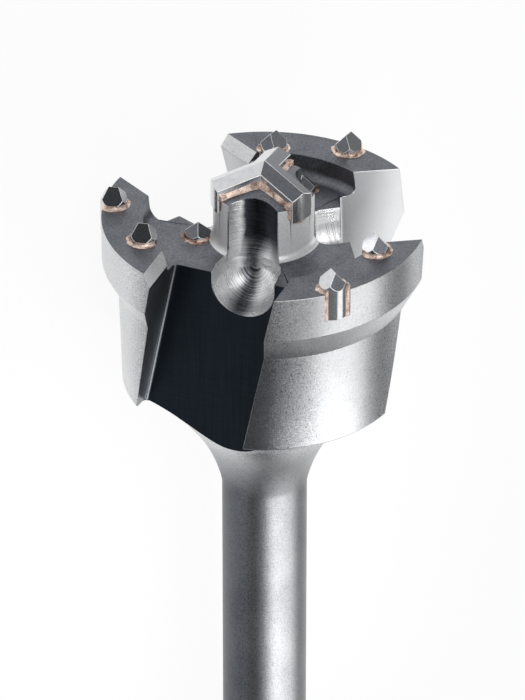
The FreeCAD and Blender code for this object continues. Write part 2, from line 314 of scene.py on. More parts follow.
flank = flank_finish()
bevel_steel = sandy_steel(
    "bevel_steel",
    (0.62, 0.63, 0.64),
    (1.0, 1.0, 1.0),
    rough=0.42,
    grain=0.4,
    depth=0.02,
    metallic=0.6,
)
# corner_steel is a painted highlight: the thin line, lighter than the black floor, in each gullet's
# inner corner.
corner_steel = sandy_steel(
    "corner_steel",
    (0.055, 0.059, 0.065),
    (0.17, 0.175, 0.185),
    rough=0.34,
    grain=0.4,
    depth=0.01,
)
bar_steel = bar_finish()
print("blasted steel", flank.name, bevel_steel.name, corner_steel.name, bar_steel.name)

# %% [markdown]
# ## Dark faces, with painted shade
# The wing tops and webs are a dark satin grey with cloudy stains and hair-fine scratches, and the
# dark grey is painted shade. The gullets are painted nearly black as shade, with fine lines along
# them, and their side walls are painted lighter towards the rim. One leading wall is painted dark as
# shade. A darker colour does the work of a weaker lamp here, because the rest of the head stays bright
# beside it.

# %% Dark tops and gullets
def dark_top():
    made = Finish("wing_top_grey", metallic=1.0)
    place = made.upright()
    clouds = made.noise(place, 0.16, detail=4.0, rough=0.6)
    fine = made.noise(place, 1.7, detail=3.0)
    hairs = made.noise(made.stretched(place, (0.25, 4.5, 1.0)), 1.0, detail=2.0)
    share = clouds * 0.7 + (fine - 0.5) * 1.1 + 0.15
    # The dark grey level is painted shade; the clouds and the hairs are stains and scratches.
    base = made.colour(share, (0.052, 0.059, 0.072), (0.27, 0.28, 0.305))
    relief = made.bump(fine + hairs * 0.7, 0.015)
    return made.finish(Base_Color=base, Roughness=0.42 + (hairs - 0.5) * 0.2, Normal=relief)


def black_gullet():
    made = Finish("gullet_black", metallic=1.0)
    place = made.upright()
    lines = made.noise(made.stretched(place, (3.5, 3.5, 0.05)), 1.0, detail=3.0)
    across = made.noise(made.stretched(place, (0.12, 0.12, 2.6)), 1.0, detail=2.0)
    # Nearly black is painted shade, for the dark the gullet floor reflects; the fine lines are the
    # cutter's.
    base = made.colour(lines * 0.6 + across * 0.4, (0.010, 0.016, 0.024), (0.042, 0.054, 0.070))
    relief = made.bump(lines + across * 0.5, 0.012)
    return made.finish(Base_Color=base, Roughness=0.36 + (lines - 0.5) * 0.2, Normal=relief)


def wall_steel(name, inner, outer):
    made = Finish(name, metallic=1.0)
    place = made.upright()
    fine = made.noise(place, 2.4, detail=3.0)
    clouds = made.noise(place, 0.2, detail=3.0)
    # Painted shade: a wall gets darker towards the axis, deeper in the gullet.
    outwards = made.ramp(made.radius(place), 22.0, 37.0)
    share = outwards * 0.8 + (fine - 0.5) * 0.35 + (clouds - 0.5) * 0.3
    base = made.colour(share, inner, outer)
    return made.finish(
        Base_Color=base,
        Roughness=0.34 + (fine - 0.5) * 0.2,
        Normal=made.bump(fine, 0.03),
    )


top_grey = dark_top()
gullet_black = black_gullet()
# Painted light and shade: the trailing walls are a lit copy of the steel, the leading walls a shaded
# copy, and one leading wall is painted dark.
trail_wall = wall_steel("trailing_wall_steel", (0.62, 0.625, 0.635), (0.86, 0.865, 0.87))
lead_wall = wall_steel("leading_wall_steel", (0.34, 0.35, 0.365), (0.62, 0.625, 0.635))
painted_shade_wall = wall_steel("painted_shade_wall_steel", (0.050, 0.056, 0.066), (0.46, 0.47, 0.49))
print("dark faces", top_grey.name, gullet_black.name)
print("walls", trail_wall.name, lead_wall.name, painted_shade_wall.name)

# %% [markdown]
# ## Milled steel
# The round flutes carry the cutter's fine rings: level ones where it went down, and ones across the
# trough where it went out. Noise along one distance draws both. The upper part of a flute is painted
# dark as shade, apart from a strip at its left that is painted bright, and the trough is painted
# bright with painted highlights at both sides of a painted dark middle. The post and the pockets are
# brighter steel, sandier and nearly matt.

# %% Milled steel
FLUTES = (255.0, 15.0, 135.0)
FLUTE_BALL = -8.5


def beside_flute(made, place):
    """How far a place in a flute lies to the side of the flute's middle."""
    total = 0.0
    for azimuth in FLUTES:
        out, beside = across_from(made, place, azimuth)
        total = beside * out.above(4.0) + total
    return total


def milled(name, burn_and_painted_shade, clean_and_painted_light, rough):
    made = Finish(name, metallic=0.85)
    place = made.upright()
    height = made.part(place, "Z")
    beside = beside_flute(made, place)
    outwards = made.ramp(height, FLUTE_BALL + 1.5, FLUTE_BALL - 1.5)
    along = height.most(FLUTE_BALL) - made.radius(place) * outwards
    rings = made.rings(along, 4.0)
    clouds = made.noise(place, 0.3, detail=3.0)
    # Painted light and shade: the upper flute takes the dark colour as painted shade, apart from a
    # painted bright strip at its left; the trough takes the bright colour, with painted highlights at
    # both sides of a dark middle. The rings are the cutter's marks.
    painted_bright_side = made.ramp(beside + (clouds - 0.5) * 2.0, -2.4, -3.6)
    trough = made.ramp(height + (clouds - 0.5) * 3.0, -1.0, -7.0)
    base = made.colour(trough.most(painted_bright_side), burn_and_painted_shade, clean_and_painted_light)
    off_middle = beside - 1.2 + trough * 2.4
    bright = made.ramp(off_middle.size() + (clouds - 0.5) * 2.0, 0.8, 3.4)
    marks_and_painted_highlights = (rings - 0.5) * 1.7 + clouds * 0.2 + bright * 0.85 + 0.02
    shade = made.colour(marks_and_painted_highlights, (0.06, 0.07, 0.085), (1.0, 1.0, 1.0))
    return made.finish(
        Base_Color=made.times(base, shade),
        Roughness=rough + (clouds - 0.5) * 0.1,
        Normal=made.bump(rings, 0.085),
    )


flute_steel = milled("flute_steel", (0.060, 0.068, 0.080), (0.95, 0.95, 0.955), 0.28)
post_steel = sandy_steel(
    "post_steel",
    (0.70, 0.705, 0.715),
    (1.0, 1.0, 1.0),
    rough=0.36,
    grain=0.30,
    depth=0.04,
    metallic=0.3,
)
print("milled steel", flute_steel.name, post_steel.name)

# %% [markdown]
# ## Carbide and copper
# Ground carbide has hard facets with a faint grinding pattern. Some facets are painted bright and
# some painted dark, as light and shade, through a bright and a dark copy of the carbide, and the
# edges between them are worn bright. The copper that was melted round it is rough and sparkles, pink
# where it is clean and brown where it is burnt, which is most of it on the webs.

# %% Carbide and copper
def ground_carbide(name, dark, light, rough):
    made = Finish(name, metallic=1.0)
    place = made.upright()
    grit = made.noise(place, 4.5, detail=3.0)
    clouds = made.noise(place, 0.8, detail=3.0)
    base = made.colour(grit * 0.45 + clouds * 0.55, dark, light)
    relief = made.bump(grit, 0.012)
    return made.finish(Base_Color=base, Roughness=rough + (grit - 0.5) * 0.2, Normal=relief)


def rough_copper(name, burn_and_painted_shade):
    """Copper whose noise is brown below the burnt level and pink above it."""
    made = Finish(name, metallic=0.75)
    place = made.upright()
    grains = made.noise(place, 3.4, detail=4.0, rough=0.7)
    burns = made.noise(place, 0.55, detail=3.0)
    clean_and_painted_light = made.ramp(burns * 0.65 + grains * 0.35, burn_and_painted_shade, burn_and_painted_shade + 0.20)
    base = made.colour(clean_and_painted_light, (0.20, 0.095, 0.065), (1.0, 0.79, 0.68))
    relief = made.bump(grains, 0.10)
    return made.finish(Base_Color=base, Roughness=0.30 + (grains - 0.5) * 0.4, Normal=relief)


# The bright and the dark carbide are lit and shaded copies of one carbide: painted light and painted
# shade.
bright_carbide = ground_carbide("bright_carbide", (0.46, 0.47, 0.49), (0.86, 0.865, 0.88), 0.17)
painted_shade_carbide = ground_carbide("painted_shade_carbide", (0.070, 0.078, 0.092), (0.200, 0.208, 0.226), 0.24)
ground_edge = sandy_steel(
    "ground_edge",
    (0.74, 0.745, 0.75),
    (0.95, 0.95, 0.95),
    rough=0.35,
    grain=0.3,
    depth=0.01,
    metallic=0.8,
)
copper = rough_copper("rough_copper", 0.36)
burnt_copper = rough_copper("burnt_copper", 0.47)
print("carbide", bright_carbide.name, painted_shade_carbide.name, ground_edge.name)
print("copper", copper.name, burnt_copper.name)

# %% [markdown]
# ## Turned and drawn-out shapes
# A lathe turns a profile, and a saw or a mill goes straight on. So a profile is a list of radius and
# height that is spun about the axis, and an outline is a flat face that is drawn out. Both follow the
# real tools, and both stay exact at any number of steps.

# %% Shape helpers
def object_of(name, shape, materials):
    """Wraps a bmesh in an object with its finishes."""
    mesh = bpy.data.meshes.new(name)
    bmesh.ops.recalc_face_normals(shape, faces=shape.faces)
    shape.to_mesh(mesh)
    shape.free()
    for material in materials:
        mesh.materials.append(material)
    made = bpy.data.objects.new(name, mesh)
    bpy.context.collection.objects.link(made)
    return made


def spun(profile, steps, angle=math.tau):
    """A bmesh turned from a profile of radius and height pairs, drawn in the XZ plane."""
    shape = bmesh.new()
    corners = [shape.verts.new((radius, 0, height)) for radius, height in profile]
    edges = [shape.edges.new(pair) for pair in zip(corners, corners[1:])]
    bmesh.ops.spin(
        shape,
        geom=corners + edges,
        cent=(0, 0, 0),
        axis=(0, 0, 1),
        angle=angle,
        steps=steps,
        use_merge=angle == math.tau,
    )
    bmesh.ops.remove_doubles(shape, verts=shape.verts, dist=0.0005)
    return shape


def arc(start, middle, end, steps):
    """Points of a round stretch through three points of a profile."""
    (ax, ay), (bx, by), (cx, cy) = start, middle, end
    d = 2 * (ax * (by - cy) + bx * (cy - ay) + cx * (ay - by))
    sa, sb, sc = ax * ax + ay * ay, bx * bx + by * by, cx * cx + cy * cy
    ux = (sa * (by - cy) + sb * (cy - ay) + sc * (ay - by)) / d
    uy = (sa * (cx - bx) + sb * (ax - cx) + sc * (bx - ax)) / d
    radius = math.hypot(ax - ux, ay - uy)
    first, through, last = (math.atan2(y - uy, x - ux) for x, y in (start, middle, end))
    through = first + math.remainder(through - first, math.tau)
    last = through + math.remainder(last - through, math.tau)
    angles = [first + (last - first) * step / steps for step in range(steps + 1)]
    return [(ux + radius * math.cos(a), uy + radius * math.sin(a)) for a in angles]


def extruded(points, along):
    """A bmesh prism from a flat outline of corners."""
    shape = bmesh.new()
    face = shape.faces.new([shape.verts.new(point) for point in points])
    pushed = bmesh.ops.extrude_face_region(shape, geom=[face])
    moved = [item for item in pushed["geom"] if isinstance(item, bmesh.types.BMVert)]
    bmesh.ops.translate(shape, verts=moved, vec=along)
    return shape


def turned_copies(shape, azimuths):
    """Copies of a shape turned about the tool's axis, in one bmesh."""
    first, *others = azimuths
    source = shape.verts[:] + shape.edges[:] + shape.faces[:]
    for azimuth in others:
        copied = bmesh.ops.duplicate(shape, geom=source)
        corners = [item for item in copied["geom"] if isinstance(item, bmesh.types.BMVert)]
        turning = Matrix.Rotation(math.radians(azimuth - first), 3, "Z")
        bmesh.ops.rotate(shape, verts=corners, cent=(0, 0, 0), matrix=turning)
    turning = Matrix.Rotation(math.radians(first), 3, "Z")
    bmesh.ops.rotate(shape, verts=shape.verts, cent=(0, 0, 0), matrix=turning)
    return shape


# %% [markdown]
# ## Cutting and finishing
# Each cutter wears the colour that its cut faces get, painted light and shade among them, and the
# exact Boolean hands it to the cut faces. Nothing on a real tool has a perfectly sharp edge, so the
# marked edges are broken by a hair with a Bevel modifier, and catch the light.

# %% Cutting and finishing helpers
def combine(body, tool, operation="DIFFERENCE"):
    """Cuts a tool from a body, joins it on or keeps what they share; the tool is used up."""
    change = body.modifiers.new("combine", "BOOLEAN")
    change.object = tool
    change.operation = operation
    change.solver = "EXACT"
    change.material_mode = "TRANSFER"
    bpy.context.view_layer.update()
    seen = body.evaluated_get(bpy.context.evaluated_depsgraph_get())
    result = bpy.data.meshes.new_from_object(seen)
    body.modifiers.clear()
    old = body.data
    body.data = result
    bpy.data.meshes.remove(old)
    used = tool.data
    bpy.data.objects.remove(tool)
    bpy.data.meshes.remove(used)


def laid(piece, sharp):
    """Lays a drawn piece down as the tool lies, with smooth faces between its sharp edges."""
    piece.data.transform(lay)
    piece.data.update()
    piece.data.shade_smooth()
    piece.data.set_sharp_from_angle(angle=math.radians(sharp))
    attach(piece, "root")


def mark_edges(piece, angle, lowest=-math.inf):
    """Marks the edges that get broken: the sharp ones above a height of the upright drawing."""
    shape = bmesh.new()
    shape.from_mesh(piece.data)
    weight = shape.edges.layers.float.new("bevel_weight_edge")
    for edge in shape.edges:
        low = min(corner.co.z for corner in edge.verts)
        if edge.is_manifold and edge.calc_face_angle() > math.radians(angle) and low > lowest:
            edge[weight] = 1.0
    shape.to_mesh(piece.data)
    shape.free()


def rounded(piece, width, edge_finish=-1):
    """Breaks the marked edges; the width is in millimetres."""
    edge = piece.modifiers.new("broken_edges", "BEVEL")
    edge.width = width * MILLIMETRE
    edge.segments = 2
    edge.limit_method = "WEIGHT"
    edge.use_clamp_overlap = False
    edge.material = edge_finish
    edge.harden_normals = True


def count(piece):
    print(piece.name, len(piece.data.vertices), "corners", len(piece.data.polygons), "faces")


# %% [markdown]
# ## The turned blank
# The real head is turned from a forging before anything is milled, so this one starts as one spun
# profile. It runs from the axis over the post, down to the web, up the wing, round the rim and the
# body, in under the head like a trumpet, and down the bar to the shank's end.

# %% The blank's profile
RIM = 39.29
RIM_FOOT = -11.2
BODY_TOP = (35.4, -18.7)
BODY_FOOT = (34.75, -45.5)
BODY_BEVEL = 0.75
TRUMPET_MIDDLE = (25.55, -49.25)
WAIST = (20.1, -55.6)
NECK_MIDDLE = (14.05, -65.2)
NECK_END = -76.0
WING_INSIDE = 29.3
WEB = -6.0
COVE = 2.5
POST = 12.4
POST_RIM = 7.8
TIP_FALL = math.tan(math.radians(16.0))
POST_APEX = POST_RIM + POST * TIP_FALL
BAR = 10.5
SHANK = 9.0
TOOL_END = -584.8
SHANK_TOP = -492.8
SHANK_SHOULDER = 6.0
SHANK_BEVEL = 2.5
TURNING_STEPS = 288
SHARP = 14.0
ON_FLANK, ON_TOP, ON_BAR, ON_POST = range(4)

quarter = math.sqrt(0.5)


def blank_profile():
    foot = arc(
        (POST, WEB + COVE),
        (POST + COVE * (1 - quarter), WEB + COVE * (1 - quarter)),
        (POST + COVE, WEB),
        9,
    )
    cove = arc(
        (WING_INSIDE - COVE, WEB),
        (WING_INSIDE - COVE * (1 - quarter), WEB + COVE * (1 - quarter)),
        (WING_INSIDE, WEB + COVE),
        9,
    )
    radius, height = BODY_FOOT
    trumpet = arc((radius - BODY_BEVEL, height), TRUMPET_MIDDLE, WAIST, 16)
    neck = arc(WAIST, NECK_MIDDLE, (BAR, NECK_END), 14)
    points = [(0.0, POST_APEX), (POST, POST_RIM)] + foot + cove
    points += [(WING_INSIDE, 0.0), (RIM, 0.0), (RIM, RIM_FOOT), BODY_TOP]
    points += [(radius, height + BODY_BEVEL)] + trumpet + neck[1:]
    points += [(BAR, SHANK_TOP + SHANK_SHOULDER), (SHANK, SHANK_TOP), (SHANK, TOOL_END + SHANK_BEVEL)]
    points += [(SHANK - SHANK_BEVEL, TOOL_END), (0.0, TOOL_END)]
    return points


def blank_finish(face):
    """Which finish a face of the blank has, by where it is."""
    middle = face.calc_center_median()
    radius = math.hypot(middle.x, middle.y)
    if middle.z < TRUMPET_MIDDLE[1] + 0.25:
        return ON_BAR
    if radius > WING_INSIDE + 0.7 and middle.z < -0.01:
        return ON_FLANK
    if radius < POST + 1.9 and middle.z > WEB + 0.3 and face.normal.z < 0.85:
        return ON_POST
    return ON_TOP


blank = spun(blank_profile(), TURNING_STEPS)
bmesh.ops.recalc_face_normals(blank, faces=blank.faces)
for face in blank.faces:
    face.material_index = blank_finish(face)
head = object_of("steel_head_and_bar", blank, [flank, top_grey, bar_steel, post_steel])
count(head)

# %% [markdown]
# ## Gullets
# Three slanted slots split the rim into wings and carry the dust away. Each is an outline with
# rounded inner corners that is drawn out at a slant, as a milling cutter would run. Its inner corner
# gets a painted highlight, a thin lighter line. Then a wedge takes the top edge off every leading end.

# %% Gullet cutters
GULLET_FLOOR = 20.0
GULLET_SIDES = (-14.1, 16.7)
GULLET_CORNER = 1.4
SLANT = math.tan(math.radians(11.0))
LEAD_WIDTH = 1.7
LEAD_DROP = 3.3
REACH = 20.0
WALL = 0.85
CORNER_LINE = (-0.80, -0.45)
ON_FLOOR, ON_TRAIL, ON_LEAD, ON_CORNER = range(4)


def gullet_cutter():
    """A gullet's cutter, each side of which wears its own colour, painted lighter or darker by how
    light falls on it.
    """
    low = GULLET_SIDES[0] + REACH * SLANT
    high = GULLET_SIDES[1] + REACH * SLANT
    inner = GULLET_FLOOR
    corner = GULLET_CORNER
    short = corner * (1 - quarter)
    lead = arc((inner + corner, low), (inner + short, low + short), (inner, low + corner), 9)
    trail = arc((inner, high - corner), (inner + short, high - short), (inner + corner, high), 9)
    outline = [(RIM + REACH, low)] + lead + trail + [(RIM + REACH, high)]
    depth = REACH - NECK_END
    points = [(along, side, REACH) for along, side in outline]
    shape = extruded(points, (0, -depth * SLANT, -depth))
    shape.normal_update()
    for face in shape.faces:
        across = face.normal.y
        if across > WALL:
            face.material_index = ON_TRAIL
        elif across < -WALL:
            face.material_index = ON_LEAD
        elif CORNER_LINE[0] < across < CORNER_LINE[1]:
            face.material_index = ON_CORNER
        else:
            face.material_index = ON_FLOOR
    return shape


def lead_wedge():
    wall = GULLET_SIDES[0] - LEAD_DROP * SLANT
    rise = (LEAD_DROP + REACH) / LEAD_DROP
    start = GULLET_FLOOR - 1.0
    points = [
        (start, wall, -LEAD_DROP),
        (start, wall - LEAD_WIDTH * rise, REACH),
        (start, 0, REACH),
        (start, 0, -LEAD_DROP),
    ]
    return extruded(points, (RIM + REACH - start, 0, 0))


# One gullet's leading wall takes the painted-dark wall, as painted shade.
for azimuth in GULLETS:
    lead = painted_shade_wall if azimuth == GULLETS[0] else lead_wall
    cutter = turned_copies(gullet_cutter(), [azimuth])
    combine(head, object_of("gullet", cutter, [gullet_black, trail_wall, lead, corner_steel]))
combine(head, object_of("wedges", turned_copies(lead_wedge(), GULLETS), [bevel_steel]))
count(head)

# %% [markdown]
# ## Flutes
# A ball-ended cutter goes down beside the post and then straight out. Half a turn of its outline
# gives the back of the cut, and pulling the open edge outwards gives the trough, so that one closed
# shape cuts both.

# %% Flute cutters
FLUTE_RADIUS = 8.0
FLUTE_DISTANCE = 16.0
FLUTE_RUN = 14.0


def flute_cutter():
    steps = 12
    ball = []
    for step in range(steps + 1):
        angle = math.radians(-90 + 90 * step / steps)
        ball.append((FLUTE_RADIUS * math.cos(angle), FLUTE_BALL + FLUTE_RADIUS * math.sin(angle)))
    top = POST_APEX + REACH
    shape = spun(ball + [(FLUTE_RADIUS, top), (0.0, top)], 48, angle=math.pi)
    turning = Matrix.Rotation(math.pi / 2, 3, "Z")
    bmesh.ops.rotate(shape, verts=shape.verts, cent=(0, 0, 0), matrix=turning)
    open_edges = [edge for edge in shape.edges if edge.is_boundary]
    pulled = bmesh.ops.extrude_edge_only(shape, edges=open_edges)
    corners = [item for item in pulled["geom"] if isinstance(item, bmesh.types.BMVert)]
    bmesh.ops.translate(shape, verts=corners, vec=(FLUTE_RUN, 0, 0))
    bmesh.ops.remove_doubles(shape, verts=shape.verts, dist=0.0005)
    bmesh.ops.holes_fill(shape, edges=shape.edges, sides=0)
    bmesh.ops.translate(shape, verts=shape.verts, vec=(FLUTE_DISTANCE, 0, 0))
    return shape


combine(head, object_of("flutes", turned_copies(flute_cutter(), FLUTES), [flute_steel]))
count(head)

# %% [markdown]
# ## Seats for the carbide
# The centre tip sits in a three-armed slot, and the pins of the wings in square pockets. The outer
# pockets are open at the rim and the inner ones at the wing's inner wall. Plain blocks cut them all,
# because a saw and an end mill leave flat walls.

# %% Seats
TIP_ARMS = (75.0, 195.0, 315.0)
TIP_HALF = 3.2
TIP_TOP = 15.2
TIP_RADIUS = 13.0
TIP_SEAT = 4.0
TIP_ROOF = math.tan(math.radians(25.0))
PIN = 3.3
PIN_DEPTH = 7.2
RIM_PINS = ((172.0, 36.7), (56.0, 36.7), (296.0, 36.7))
INNER_PINS = ((202.0, 31.2), (86.0, 31.2), (328.0, 31.2))


def block(low, high):
    """A box between two corners."""
    shape = bmesh.new()
    bmesh.ops.create_cube(shape, size=1.0)
    size = Vector(high) - Vector(low)
    bmesh.ops.scale(shape, vec=size, verts=shape.verts)
    bmesh.ops.translate(shape, vec=Vector(low) + size / 2, verts=shape.verts)
    return shape


def seat_arm():
    return block((0, -TIP_HALF, TIP_SEAT), (POST + 2.0, TIP_HALF, POST_APEX + 5.0))


for arm in TIP_ARMS:
    slot = object_of("tip_slot", turned_copies(seat_arm(), [arm]), [post_steel])
    combine(head, slot)
for azimuth, distance in RIM_PINS:
    pocket = block((distance, -PIN, -PIN_DEPTH), (RIM + 1.0, PIN, 5.0))
    combine(head, object_of("pocket", turned_copies(pocket, [azimuth]), [post_steel]))
for azimuth, distance in INNER_PINS:
    pocket = block((WING_INSIDE - 1.0, -PIN, WEB), (distance, PIN, 5.0))
    combine(head, object_of("pocket", turned_copies(pocket, [azimuth]), [post_steel]))
count(head)

# %% [markdown]
# ## The hammer shank
# Three grooves, open at the end, take the chuck's keys. Two closed pockets with round ends hold the
# tool in the chuck. A groove is an outline drawn outwards, and a pocket is the path of a round-nosed
# cutter, spun beside the bar. Then the whole steel piece is laid down and its edges are broken.

# %% Shank cuts
GROOVES = (0.0, 145.0, 215.0)
GROOVE_HALF = 2.2
GROOVE_FLOOR = SHANK - 2.2
GROOVE_LENGTH = 62.0
POCKETS = (90.0, 270.0)
POCKET_CUTTER = 4.2
POCKET_DEPTH = 2.6
POCKET_ENDS = (TOOL_END + 19.0 + POCKET_CUTTER, TOOL_END + 43.0 - POCKET_CUTTER)


def drive_groove():
    end = TOOL_END + GROOVE_LENGTH - GROOVE_HALF
    side = arc((-GROOVE_HALF, end), (0.0, end + GROOVE_HALF), (GROOVE_HALF, end), 24)
    outline = [(-GROOVE_HALF, TOOL_END - 5.0)] + side + [(GROOVE_HALF, TOOL_END - 5.0)]
    return extruded([(GROOVE_FLOOR, across, height) for across, height in outline], (REACH, 0, 0))


def lock_pocket():
    low, high = POCKET_ENDS
    steps = 10
    turn_in = [math.radians(-90 + 90 * step / steps) for step in range(steps + 1)]
    nose = [(POCKET_CUTTER * math.cos(a), POCKET_CUTTER * math.sin(a)) for a in turn_in]
    lower = [(across, low + height) for across, height in nose]
    upper = [(across, high - height) for across, height in reversed(nose)]
    shape = spun(lower + upper, 48)
    axis = SHANK - POCKET_DEPTH + POCKET_CUTTER
    bmesh.ops.translate(shape, verts=shape.verts, vec=(axis, 0, 0))
    return shape


combine(head, object_of("grooves", turned_copies(drive_groove(), GROOVES), [bar_steel]))
combine(head, object_of("lock_pockets", turned_copies(lock_pocket(), POCKETS), [bar_steel]))
mark_edges(head, 25.0, lowest=-50.0)
laid(head, SHARP)
rounded(head, 0.16)
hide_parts("head_and_shank")
count(head)

# %% [markdown]
# ## Carbide pins
# A pin starts as a round bar. Four cuts grind its top to a roof with a short ridge, or to a square
# point on the webs. Cutting with planes leaves the flat, hard-edged facets of a grinding wheel. On
# the wings every other facet gets painted shade from the darker copy, and on the webs all of them do.

# %% Pins
PIN_HEIGHT = 4.7
PIN_RIDGE = 2.4
FLANK_SLOPE = 51.0
HIP_SLOPE = 62.0
WEB_PIN = 3.2
WEB_PIN_DEPTH = 6.0
WEB_PIN_HEIGHT = 4.0
WEB_PIN_SLOPE = 46.0
INNER_TWIST = 34.0
WEB_PINS = ((180.0, 16.0), (67.0, 23.6))
CARBIDE = [bright_carbide, painted_shade_carbide, ground_edge]
WORN_EDGE = CARBIDE.index(ground_edge)
PAINTED_SHADE_FLANKS = (172.0, 202.0)
PIN_STEPS = 96


def ground_pin(radius, depth, height, ridge, flank_slope, hip_slope, painted_shade_hips=True):
    shape = bmesh.new()
    bmesh.ops.create_cone(
        shape,
        cap_ends=True,
        segments=PIN_STEPS,
        radius1=radius,
        radius2=radius,
        depth=depth + height,
    )
    bmesh.ops.translate(shape, verts=shape.verts, vec=(0, 0, (height - depth) / 2))
    flanks = [(0, flank_slope, 0.0), (180, flank_slope, 0.0)]
    hips = [(90, hip_slope, ridge / 2), (270, hip_slope, ridge / 2)]
    for azimuth, slope, offset in flanks + hips:
        slope = math.radians(slope)
        normal = Vector((0, -math.sin(slope), math.cos(slope)))
        start = Vector((0, -offset, height))
        spin_matrix = Matrix.Rotation(math.radians(azimuth), 3, "Z")
        everything = shape.verts[:] + shape.edges[:] + shape.faces[:]
        cut = bmesh.ops.bisect_plane(
            shape,
            geom=everything,
            plane_co=spin_matrix @ start,
            plane_no=spin_matrix @ normal,
            clear_outer=True,
        )
        rim = [item for item in cut["geom_cut"] if isinstance(item, bmesh.types.BMEdge)]
        bmesh.ops.edgeloop_fill(shape, edges=rim)
    bmesh.ops.remove_doubles(shape, verts=shape.verts, dist=0.0005)
    bmesh.ops.recalc_face_normals(shape, faces=shape.faces)
    # Painted shade: the facets in the dark set take the dark carbide, and the rest keep the bright
    # one.
    for face in shape.faces:
        facet = 0.2 < face.normal.z < 0.9
        hip = abs(face.normal.x) > abs(face.normal.y)
        dark = hip == painted_shade_hips or ridge == 0
        face.material_index = int(facet and dark)
    return shape


def place_pin(name, node, shape, place, facing):
    bmesh.ops.rotate(
        shape,
        verts=shape.verts,
        cent=(0, 0, 0),
        matrix=Matrix.Rotation(math.radians(facing), 3, "Z"),
    )
    bmesh.ops.translate(shape, verts=shape.verts, vec=place)
    piece = object_of(name, shape, CARBIDE)
    mark_edges(piece, 20.0)
    laid(piece, 20.0)
    rounded(piece, 0.10, edge_finish=WORN_EDGE)
    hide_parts(node)


def at(distance, azimuth, height=0.0):
    angle = math.radians(azimuth)
    return Vector((distance * math.cos(angle), distance * math.sin(angle), height))


for number, (azimuth, distance) in enumerate(RIM_PINS + INNER_PINS, 1):
    facing = azimuth if number <= len(RIM_PINS) else azimuth - INNER_TWIST
    painted_shade_hips = azimuth not in PAINTED_SHADE_FLANKS
    size = (PIN, PIN_DEPTH, PIN_HEIGHT, PIN_RIDGE)
    shape = ground_pin(*size, FLANK_SLOPE, HIP_SLOPE, painted_shade_hips)
    place_pin(f"carbide_wing_pin_{number}", f"wing_pin_{number}", shape, at(distance, azimuth), facing)
for number, (azimuth, distance) in enumerate(WEB_PINS, 1):
    size = (WEB_PIN, WEB_PIN_DEPTH, WEB_PIN_HEIGHT, 0.0)
    shape = ground_pin(*size, WEB_PIN_SLOPE, WEB_PIN_SLOPE)
    place = at(distance, azimuth, WEB)
    place_pin(f"carbide_web_pin_{number}", f"web_pin_{number}", shape, place, azimuth + 45)

# %% [markdown]
# ## The centre tip
# One arm is a bar with a roof, drawn out down its slope. Three of them are cut to a third of the
# round each and joined at the cuts, which keeps the ridges meeting in one point. The ends are ground
# round, and the facets on one side are painted darker, as painted shade.

# %% Centre tip
RING_STEPS = 192


def sloping_arm(outline, length):
    """A bar from the axis outwards: its floor stays level and everything above it slopes down."""
    shape = extruded([(0, side, height) for side, height in outline], (length, 0, 0))
    high = [corner for corner in shape.verts if corner.co.x > 0 and corner.co.z > TIP_SEAT + 0.001]
    bmesh.ops.translate(shape, verts=high, vec=(0, 0, -length * TIP_FALL))
    bmesh.ops.recalc_face_normals(shape, faces=shape.faces)
    return shape


def three_arms(shape, azimuths):
    """Cuts an arm to its third of the round, and joins three of them at the cuts."""
    for side in (1, -1):
        outside = Vector((-math.sin(math.radians(60)), side * math.cos(math.radians(60)), 0))
        everything = shape.verts[:] + shape.edges[:] + shape.faces[:]
        bmesh.ops.bisect_plane(shape, geom=everything, plane_no=outside, clear_outer=True)
    turned_copies(shape, azimuths)
    bmesh.ops.remove_doubles(shape, verts=shape.verts, dist=0.002)
    return shape


def tip_shape():
    shoulder = TIP_TOP - TIP_HALF * TIP_ROOF
    roof = [(TIP_HALF, shoulder), (0, TIP_TOP), (-TIP_HALF, shoulder)]
    outline = [(-TIP_HALF, TIP_SEAT), (TIP_HALF, TIP_SEAT)] + roof
    shape = sloping_arm(outline, TIP_RADIUS + 1.0)
    arms = three_arms(shape, TIP_ARMS)
    bmesh.ops.recalc_face_normals(arms, faces=arms.faces)
    # Painted shade: the roof facets on the +X side take the dark carbide.
    for face in arms.faces:
        shaded = face.normal.z > 0.5 and face.calc_center_median().x > 1.5
        face.material_index = int(shaded)
    return arms


def outside_ring(radius, low, high):
    """Everything outside a radius, to grind a piece round."""
    far = radius + REACH
    profile = [(radius, low), (far, low), (far, high), (radius, high), (radius, low)]
    return spun(profile, RING_STEPS)


tip = object_of("carbide_centre_tip", tip_shape(), CARBIDE)
combine(tip, object_of("grinding", outside_ring(TIP_RADIUS, 0.0, TIP_TOP + 5.0), [bright_carbide]))
mark_edges(tip, 12.0)
laid(tip, 12.0)
rounded(tip, 0.14, edge_finish=WORN_EDGE)
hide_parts("centre_tip")
count(tip)

# %% [markdown]
# ## Copper beads
# Melted copper creeps up the carbide in a hollow curve and spreads over the steel, never quite
# evenly. Each bead is a hollow profile spun round its pin, and noise moves its corners, because the
# uneven edge shows in the outline where a bump wouldn't. On the wings it also fills the pocket.

# %% Beads round the pins
BEAD_STEPS = 120
WING_BEAD = (0.75, 1.0)
WEB_BEAD = (0.85, 0.9)
BEAD_OVERLAP = 0.4
SETBACK = 0.2


def bead_profile(radius, width, height):
    steps = 7
    points = []
    for step in range(steps + 1):
        angle = math.pi / 2 * step / steps
        points.append((radius + width * (1 - math.sin(angle)), height * (1 - math.cos(angle))))
    inside = radius - BEAD_OVERLAP
    foot = [(inside, -BEAD_OVERLAP), (radius + width, -BEAD_OVERLAP)]
    return foot + points + [(inside, height)]


